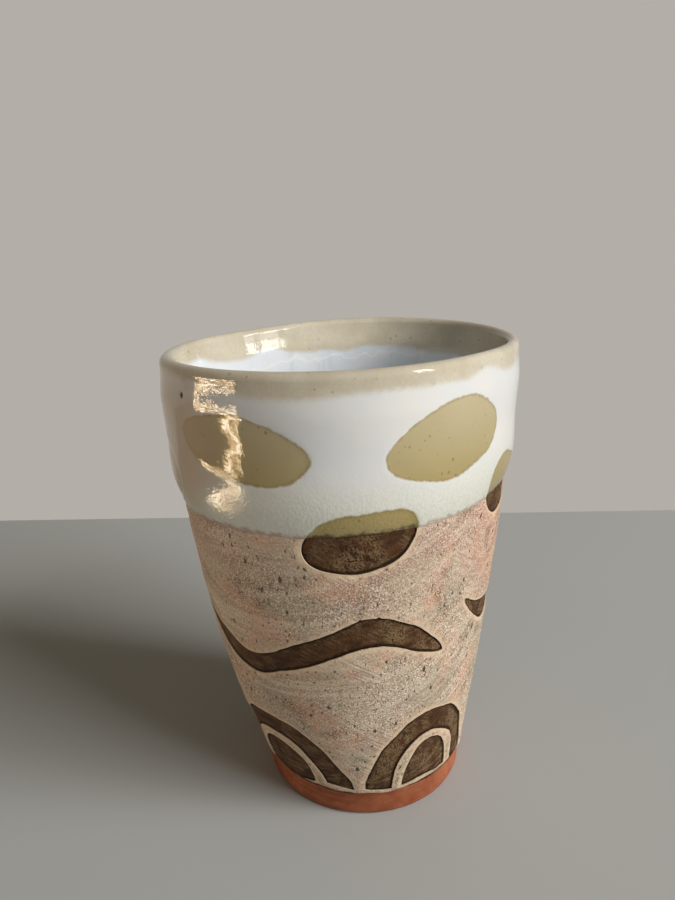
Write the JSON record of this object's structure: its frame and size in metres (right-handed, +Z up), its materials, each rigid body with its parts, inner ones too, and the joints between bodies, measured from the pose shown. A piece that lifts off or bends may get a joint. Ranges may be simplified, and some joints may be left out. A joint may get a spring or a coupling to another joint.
{
  "type": "coffee cup",
  "caption": "Handleless slab-built coffee cup with a round foot, an oval mouth, a pierced slip pattern outside and a glossy glaze over the rim and inside.",
  "frame": {"origin": "middle of the round underside of the foot, on the surface that the cup stands on", "axes": "+Z up towards the mouth, +X along the long way of the oval mouth, towards its narrower end, and +Y along its short way"},
  "size_m": [0.0909, 0.0697, 0.1104],
  "materials": {
    "red_clay": "bare fired red clay, matt",
    "dark_slip": "brushed dark brown slip, matt",
    "pale_slip": "brushed cream slip with dark specks, matt",
    "cream_glaze": "glossy transparent glaze over slip",
    "white_glaze": "glossy white liner glaze"
  },
  "bodies": {
    "root": {"floor_slab": "red_clay", "wall": "red_clay", "joint_coil": "red_clay", "dark_slip_coat": "dark_slip", "pale_slip_coat": "pale_slip", "dip_glaze": "cream_glaze", "liner_glaze": "white_glaze"}
  },
  "joints": []
}
